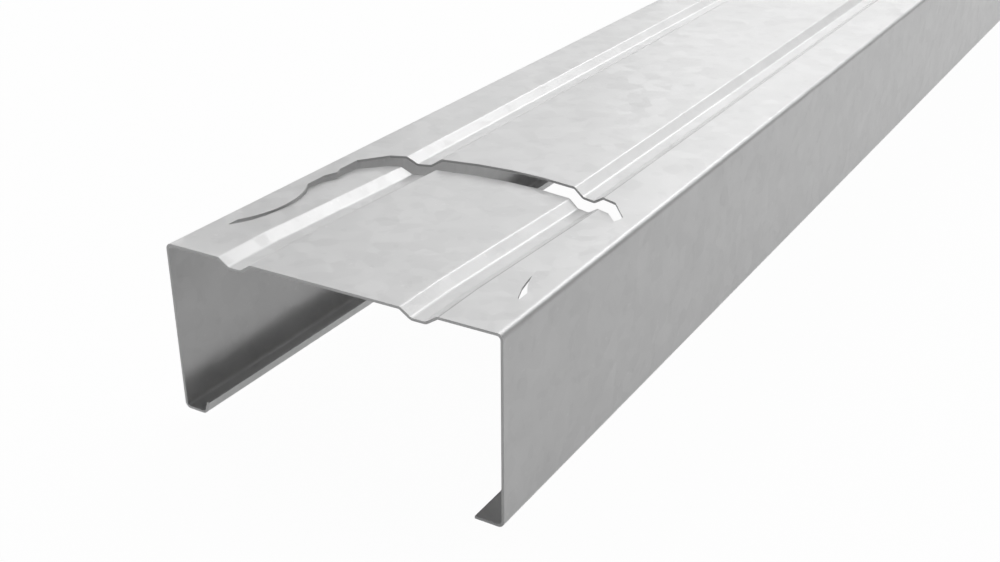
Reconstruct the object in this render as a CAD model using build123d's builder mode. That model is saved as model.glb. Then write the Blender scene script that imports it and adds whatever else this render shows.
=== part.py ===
from build123d import *
from math import radians, tan
import os

# A galvanised C stud for partition walls, cold-formed from one strip of sheet.
# It lies web up with its lips down: X is across the web, Y along the stud, Z up.
# The origin is at floor level, under the middle of the web and halfway along.
# Sizes are in millimetres and degrees.

# The stud and its sheet
stud_length = 2600.0
web_width = 98.8
tall_flange = 51.3
short_flange = 48.0
sheet = 0.7
bend_radius = 1.0

# The lips on the free edges of the flanges: a plain one, and one with a turned-up return
plain_lip = 8.1
returned_lip = 7.3
return_height = 3.6
return_lean = 19.0

# The two stiffening grooves rolled into the web
groove_offset = 27.1
groove_opening = 10.1
groove_floor = 3.8
groove_depth = 2.1
groove_bend_radius = 0.5
groove_floor_radius = 1.5

# The cable hole in the web, whose flap is still hinged on and pressed a little inwards
hinge_from_end = 17.0
hole_length = 70.8
hole_side_margin = 5.7
flap_angle = 2.1

# Along the hole's sides: the waist, which the flap reaches by a straight neck that is longer on the left,
# and the torn tie that held the flap, nearer the corner on the right
waist_from_hinge = 18.3
waist_half_length = 14.8
waist_pinch = 4.3
left_neck_length = 5.0
right_neck_length = 0.5
left_tie_to_corner = 8.3
right_tie_to_corner = 1.5
tie_near_length = 4.0
tie_far_length = 2.4
tie_depth = 1.5
tie_step = 0.65

# Along the hole's end: the corners, and the shoulders where its rounded end starts
corner_from_hinge = 55.4
shoulder_from_hinge = 63.4
shoulder_inset = 6.1

# The gaps between hole and flap, from the slit at the hinge to the rounded end
slit_width = 0.5
lance_gap = 0.1
side_gap = 0.3
torn_gap = 0.7
corner_gap = 1.9
end_gap = 2.8

# Sizes that follow from those above
half_web = web_width / 2
short_edge = tall_flange - short_flange
outer_radius = bend_radius + sheet
groove_crest_radius = groove_bend_radius + sheet
return_run = return_height * tan(radians(return_lean))
hole_half_width = half_web - hole_side_margin
waist_y = hinge_from_end + waist_from_hinge
hole_foot = (hole_half_width, waist_y - waist_half_length)
flap_foot = (hole_half_width - slit_width, hinge_from_end)
fold_overlap = sheet
cutter_reach = groove_depth + 2 * sheet

# Lines across the groove and the strip's outer line, with the bend at each of its corners
web_line = []
web_bends = []
for centre in (groove_offset, -groove_offset):
    web_line.append((centre + groove_opening / 2, tall_flange))
    web_line.append((centre + groove_floor / 2, tall_flange - groove_depth))
    web_line.append((centre - groove_floor / 2, tall_flange - groove_depth))
    web_line.append((centre - groove_opening / 2, tall_flange))
    web_bends += [groove_crest_radius, groove_floor_radius, groove_floor_radius, groove_crest_radius]

# The section: the outer line of the strip, from lip to lip, thickened inwards
with BuildSketch(Plane.XZ.offset(-stud_length / 2)) as section:
    with BuildLine():
        FilletPolyline(
            (half_web - plain_lip, 0),
            (half_web, 0),
            (half_web, tall_flange),
            *web_line,
            (-half_web, tall_flange),
            (-half_web, short_edge),
            (returned_lip - half_web, short_edge),
            (returned_lip - half_web + return_run, short_edge + return_height),
            radius=[outer_radius, outer_radius, *web_bends, outer_radius, outer_radius, outer_radius],
        )
        offset(amount=sheet, side=Side.LEFT)
    make_face()


# The outline of the hole, or with an inset of 1 that of the flap, which has the gaps around it.
# The sketch's origin is on the web at the stud's end.
def draw_outline(inset, foot):
    side_x = hole_half_width - inset * side_gap
    waist_x = hole_half_width - waist_pinch - inset * lance_gap
    torn_x = hole_half_width - tie_step - inset * torn_gap
    root_y = hinge_from_end - fold_overlap
    corner_y = hinge_from_end + corner_from_hinge - inset * corner_gap
    shoulder_y = hinge_from_end + shoulder_from_hinge - inset * end_gap
    end_y = hinge_from_end + hole_length - inset * end_gap
    for side, neck_length, tie_to_corner in (
        (1, right_neck_length, right_tie_to_corner),
        (-1, left_neck_length, left_tie_to_corner),
    ):
        foot_point = (side * foot[0], foot[1])
        waist = (side * waist_x, waist_y)
        neck_end = (side * waist_x, waist_y - inset * neck_length)
        waist_end = (side * side_x, waist_y + waist_half_length)
        tie_end_y = corner_y - tie_to_corner
        tie_y = tie_end_y - tie_far_length
        shoulder = (side * (torn_x - shoulder_inset), shoulder_y)
        Polyline((0, root_y), (side * foot[0], root_y), foot_point)
        if inset:
            Line(waist, neck_end)
        TangentArc(neck_end, foot_point, tangent=(0, -1))
        TangentArc(waist, waist_end, tangent=(0, 1))
        Polyline(
            waist_end,
            (side * side_x, tie_y - tie_near_length),
            (side * (side_x - tie_depth), tie_y),
            (side * torn_x, tie_end_y),
            (side * torn_x, corner_y),
            shoulder,
        )
        TangentArc((0, end_y), shoulder, tangent=(side, 0))


web_at_end = Plane((0, -stud_length / 2, tall_flange))
hinge = Axis((0, hinge_from_end - stud_length / 2, tall_flange), (1, 0, 0))
fold = Plane(hinge.position, x_dir=(1, 0, 0), z_dir=(0, 1, 0)).rotated((-flap_angle / 2, 0, 0))

# The hole, from the fold to its rounded end
with BuildPart() as hole:
    with BuildSketch(web_at_end):
        with BuildLine():
            draw_outline(inset=0, foot=hole_foot)
        make_face()
    extrude(amount=cutter_reach, both=True)
    split(bisect_by=fold, keep=Keep.TOP)

# The flap as it was before it was pressed in, with the grooves running through it
with BuildPart() as flat_flap:
    extrude(section.sketch, amount=stud_length)
    with BuildSketch(web_at_end):
        with BuildLine():
            draw_outline(inset=1, foot=flap_foot)
        make_face()
    extrude(amount=cutter_reach, both=True, mode=Mode.INTERSECT)

# The flap bent down about its hinge and mitred where it meets the web
with BuildPart() as bent_flap:
    add(flat_flap.part.rotate(hinge, -flap_angle))
    split(bisect_by=fold, keep=Keep.TOP)

# The whole stud, one bent sheet
with BuildPart() as steel_stud:
    extrude(section.sketch, amount=stud_length)
    add(hole.part, mode=Mode.SUBTRACT)
    add(bent_flap.part)

steel_stud.part.label = "steel_stud"
os.makedirs("parts", exist_ok=True)
export_step(steel_stud.part, "parts/steel_stud.step")
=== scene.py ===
from math import radians

import bpy
from mathutils import Euler, Matrix, Vector


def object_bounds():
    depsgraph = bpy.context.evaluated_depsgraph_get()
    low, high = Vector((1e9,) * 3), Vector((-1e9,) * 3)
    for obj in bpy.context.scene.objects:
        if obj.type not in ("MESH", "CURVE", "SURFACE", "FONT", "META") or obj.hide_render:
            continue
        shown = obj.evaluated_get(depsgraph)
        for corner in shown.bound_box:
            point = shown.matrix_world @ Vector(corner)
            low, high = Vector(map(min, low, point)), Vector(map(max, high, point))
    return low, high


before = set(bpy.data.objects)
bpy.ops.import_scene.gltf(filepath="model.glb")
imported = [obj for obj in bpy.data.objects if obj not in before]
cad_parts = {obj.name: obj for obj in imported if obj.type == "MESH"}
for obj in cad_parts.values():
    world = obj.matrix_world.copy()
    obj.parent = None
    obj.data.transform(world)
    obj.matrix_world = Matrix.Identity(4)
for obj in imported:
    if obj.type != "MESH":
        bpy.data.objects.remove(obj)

cadLow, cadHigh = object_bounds()
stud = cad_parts["steel_stud"]
print("frame loaded, nodes:", len(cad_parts))


# Shader maths: a wrapped socket adds its own Math nodes when it is used in an expression

class Wire:
    def __init__(self, shader, socket):
        self.shader, self.socket = shader, socket

    def math(self, operation, *values):
        return self.shader.node("ShaderNodeMath", {"operation": operation}, dict(enumerate(values)))

    def __add__(self, other):
        return self.math("ADD", self, other)

    def __sub__(self, other):
        return self.math("SUBTRACT", self, other)

    def __rsub__(self, other):
        return self.math("SUBTRACT", other, self)

    def __mul__(self, other):
        return self.math("MULTIPLY", self, other)

    __radd__ = __add__
    __rmul__ = __mul__

    def size(self):  # without its sign
        return self.math("ABSOLUTE", self)

    def above(self, edge):
        return self.math("GREATER_THAN", self, edge)

    def below(self, edge):
        return self.math("LESS_THAN", self, edge)

    def orElse(self, other):
        return self.math("MAXIMUM", self, other)


class Shader:
    def __init__(self, owner):
        owner.use_nodes = True
        self.tree = owner.node_tree
        self.tree.nodes.clear()

    def node(self, kind, settings=None, inputs=None, out=0):
        made = self.tree.nodes.new(kind)
        for name, value in (settings or {}).items():  # settings come before sockets
            setattr(made, name, value)
        for name, value in (inputs or {}).items():
            if isinstance(value, Wire):
                self.tree.links.new(value.socket, made.inputs[name])
            else:
                made.inputs[name].default_value = value
        return Wire(self, made.outputs[out]) if made.outputs else None

    def noise(self, place, scale, detail=2.0, roughness=0.5, out=0):
        return self.node("ShaderNodeTexNoise", {}, {
            "Vector": place, "Scale": scale, "Detail": detail, "Roughness": roughness}, out)

    def fade(self, value, low, high):  # 0 at low and 1 at high, eased in between
        return self.node("ShaderNodeMapRange", {"interpolation_type": "SMOOTHSTEP"}, {
            "Value": value, "From Min": low, "From Max": high})

    def vector(self, operation, *values):
        return self.node("ShaderNodeVectorMath", {"operation": operation}, dict(enumerate(values)))

    def parts(self, vector):  # x, y and z
        return [self.node("ShaderNodeSeparateXYZ", {}, {0: vector}, out) for out in range(3)]

    def jitter(self, colour, width):  # a random colour as a vector, up to half the width each way
        centred = self.vector("SUBTRACT", colour, (0.5, 0.5, 0.5))
        return self.vector("MULTIPLY", centred, (width, width, width))

    def seen(self):  # 1 for the eye, and for what metal or glass would show
        eyeRay, metalRay, glassRay = [
            self.node("ShaderNodeLightPath", out="Is " + kind + " Ray")
            for kind in ("Camera", "Glossy", "Transmission")]
        return eyeRay.orElse(metalRay).orElse(glassRay)


# The zinc coat: faint crystals, clouds, dabs and flecks

zinc = {
    "tone": 0.75, "metal": 0.2, "roughness": 0.3,
    "crystalSize": 0.0055, "crystalBlur": 0.15, "waveSize": 0.006, "waveDepth": 0.003,
    "crystalTone": 0.045, "crystalRoughness": 0.03, "crystalTilt": 0.05,
    "cloudSize": 0.013, "cloudDetail": 3, "cloudRoughness": 0.55, "cloudTone": 0.11,
    "dabSize": 0.0050, "dabEdge": (0.60, 0.66), "dabTone": 0.03,
    "fleckSize": 0.0022, "fleckEdge": (0.72, 0.78), "fleckTone": 0.05,
}


def findCrystals(shader, place):  # one random colour for each crystal, with wavy edges between them
    waves = shader.noise(place, 1 / zinc["waveSize"], detail=1, out=1)
    bent = shader.vector("ADD", place, shader.jitter(waves, zinc["waveDepth"]))
    return shader.node("ShaderNodeTexVoronoi", {"feature": "SMOOTH_F1"}, {
        "Vector": bent, "Scale": 1 / zinc["crystalSize"], "Smoothness": zinc["crystalBlur"]}, out=1)


def findSpots(shader, place, size, edge):  # 1 inside small spots with soft edges
    return shader.fade(shader.noise(place, 1 / size, detail=1), *edge)


# Bare steel, wherever the sheet is cut through

bare = {
    "tone": 0.72, "roughness": 0.5, "margin": 0.0001,
    "holeHalfWidth": 0.0442, "holeNear": 0.0165, "holeFar": 0.0885, "holeDepth": 0.0060,
    "plainLip": 0.0081, "sheet": 0.0007,
    "returnTop": 0.0080, "returnFromFlange": 0.0035, "returnLevel": 0.9, "returnSlope": 0.2,
}
levelAbove = 0.5  # a face counts as level where its normal stands higher than this


def findCuts(shader, place, facing):  # 1 on the cut faces
    x, y, z = shader.parts(place)
    slope, _, level = shader.parts(facing)
    ends = y.size().above(cadHigh.y - bare["margin"])
    hole = x.size().below(bare["holeHalfWidth"]) * z.above(cadHigh.z - bare["holeDepth"])
    hole = hole * y.above(cadLow.y + bare["holeNear"]) * y.below(cadLow.y + bare["holeFar"])
    hole = hole * level.size().below(levelAbove)
    lip = (x - (cadHigh.x - bare["plainLip"])).size().below(bare["margin"])
    lip = lip * z.below(bare["sheet"] + bare["margin"])
    back = z.below(bare["returnTop"]) * x.above(cadLow.x + bare["returnFromFlange"])
    back = back * level.above(bare["returnLevel"]) * slope.above(bare["returnSlope"])
    return ends.orElse(hole).orElse(lip).orElse(back)


# Painted shade: a thin dark line painted beside the right groove's crease, on the web's upper face

creaseShadeLine = {"place": 0.03255, "halfWidth": 0.0001, "soft": 0.00015, "tone": 0.38}


def findPaintedCreaseShade(shader, place, facing):  # 1 on the line
    # painted crease shade: this mask darkens the coat colour along the crease
    away = (shader.parts(place)[0] - creaseShadeLine["place"]).size()
    line = 1 - shader.fade(away, creaseShadeLine["halfWidth"], creaseShadeLine["halfWidth"] + creaseShadeLine["soft"])
    return line * shader.parts(facing)[2].above(levelAbove)


# The finish of the whole sheet, put together from these

def zincMaterial():
    material = bpy.data.materials.new("zinc_coat")
    shader = Shader(material)
    place = shader.node("ShaderNodeTexCoord", out=3)  # the Object output, in metres
    facing = shader.node("ShaderNodeTexCoord", out=1)
    crystals = findCrystals(shader, place)
    crystal = shader.parts(crystals)[0] - 0.5
    tilt = shader.jitter(crystals, zinc["crystalTilt"])
    facet = shader.vector("ADD", shader.node("ShaderNodeNewGeometry", out="Normal"), tilt)
    cloud = shader.noise(place, 1 / zinc["cloudSize"], zinc["cloudDetail"], zinc["cloudRoughness"]) - 0.5
    dab = findSpots(shader, place, zinc["dabSize"], zinc["dabEdge"])
    fleck = findSpots(shader, place, zinc["fleckSize"], zinc["fleckEdge"])
    shade = 1 + crystal * zinc["crystalTone"] + cloud * zinc["cloudTone"]
    shade = shade - dab * zinc["dabTone"] + fleck * zinc["fleckTone"]
    # painted shade along the right groove's crease, taken off the coat colour
    shade = shade - findPaintedCreaseShade(shader, place, facing) * creaseShadeLine["tone"]
    coat = shade * zinc["tone"]
    rough = zinc["roughness"] + crystal * zinc["crystalRoughness"]
    cuts = findCuts(shader, place, facing)
    steel = shader.node("ShaderNodeBsdfPrincipled", {}, {
        "Base Color": coat + cuts * (bare["tone"] - coat), "Metallic": zinc["metal"],
        "Roughness": rough + cuts * (bare["roughness"] - rough), "Normal": shader.vector("NORMALIZE", facet)})
    shader.node("ShaderNodeOutputMaterial", {}, {"Surface": steel})
    return material


stud.material_slots[0].material = zincMaterial()
print("zinc coat made")


# The floor: white to the eye and to the metal, with the stud's shadow kept on it

ground = {
    "size": 60, "drop": 0.0002, "colour": (0.9, 0.9, 0.9, 1),
    "white": (1, 1, 1, 1), "whiteShare": 0.975,
}


def floorMaterial():
    material = bpy.data.materials.new("floor_white")
    shader = Shader(material)
    lit = shader.node("ShaderNodeBsdfDiffuse", {}, {"Color": ground["colour"]})
    glow = shader.node("ShaderNodeEmission", {}, {"Color": ground["white"], "Strength": 1.0})
    both = shader.node("ShaderNodeMixShader", {}, {0: shader.seen() * ground["whiteShare"], 1: lit, 2: glow})
    shader.node("ShaderNodeOutputMaterial", {}, {"Surface": both})
    return material


def makeFloor():
    mesh = bpy.data.meshes.new("floor")
    half = ground["size"] / 2
    height = cadLow.z - ground["drop"]
    corners = [(x * half, y * half, height) for x, y in ((-1, -1), (1, -1), (1, 1), (-1, 1))]
    mesh.from_pydata(corners, [], [(0, 1, 2, 3)])
    mesh.materials.append(floorMaterial())
    floor = bpy.data.objects.new("floor", mesh)
    bpy.context.scene.collection.objects.link(floor)


makeFloor()
print("floor made")


# The studio: a pale world and soft lamps

studio = {"sky": (1, 1, 1, 1), "skyGlow": 0.5, "aimFromEnd": 0.12, "lampDistance": 4.0}
lamps = {  # direction from the stud as azimuth and elevation, then width, height and strength
    "back core": {"turn": 3, "rise": 42, "size": (1.0, 1.2), "watts": 8},
    "back": {"turn": -2, "rise": 44, "size": (3.2, 3.3), "watts": 39},
    "back wide": {"turn": -6, "rise": 42, "size": (4.8, 4.5), "watts": 45},
    "back spot": {"turn": -8, "rise": 31, "size": (0.75, 0.75), "watts": 4.2},
    "back low": {"turn": -14, "rise": 11, "size": (1.2, 0.7), "watts": 1.6},
    "left": {"turn": -70, "rise": 44, "size": (2.5, 2.3), "watts": 60},
    "left low": {"turn": -95, "rise": 20, "size": (2.6, 1.6), "watts": 17},
    "right": {"turn": 60, "rise": 50, "size": (2.0, 2.0), "watts": 7},
}


def heading(turn, rise):
    return Euler((radians(rise), 0, radians(-turn))).to_matrix() @ Vector((0, 1, 0))


def makeSky():
    world = bpy.data.worlds.new("studio")
    bpy.context.scene.world = world
    shader = Shader(world)
    background = shader.node("ShaderNodeBackground", {}, {
        "Color": studio["sky"], "Strength": shader.seen() * studio["skyGlow"]})
    shader.node("ShaderNodeOutputWorld", {}, {"Surface": background})


def placeLamps():
    aim = Vector((0, cadLow.y + studio["aimFromEnd"], cadHigh.z))  # the middle of what the photograph shows
    for name, lamp in lamps.items():
        data = bpy.data.lights.new(name, "AREA")
        data.shape = "RECTANGLE"
        data.size, data.size_y = lamp["size"]
        data.energy = lamp["watts"]
        made = bpy.data.objects.new(name, data)
        bpy.context.scene.collection.objects.link(made)
        away = heading(lamp["turn"], lamp["rise"])
        made.location = aim + away * studio["lampDistance"]
        made.rotation_euler = away.to_track_quat("Z", "Y").to_euler()


makeSky()
placeLamps()
print("studio lit with", len(lamps), "lamps")


# The camera, at the photograph's own place, heading and focal length

eye = {
    "place": (0.17822, -1.51670, 0.18489), "turn": 30.874, "down": 25.570, "roll": 0.345,
    "lens": 47.27, "sensor": 36, "nearest": 0.01,
}


def placeCamera():
    data = bpy.data.cameras.new("camera")
    data.sensor_width = eye["sensor"]
    data.lens = eye["lens"]
    data.clip_start = eye["nearest"]
    camera = bpy.data.objects.new("camera", data)
    bpy.context.scene.collection.objects.link(camera)
    level = Euler((radians(90 - eye["down"]), 0, radians(eye["turn"]))).to_matrix()
    camera.location = eye["place"]
    camera.rotation_euler = (level @ Matrix.Rotation(radians(-eye["roll"]), 3, "Z")).to_euler()
    bpy.context.scene.camera = camera


placeCamera()
bpy.context.scene.view_settings.view_transform = "Standard"
print("camera placed")
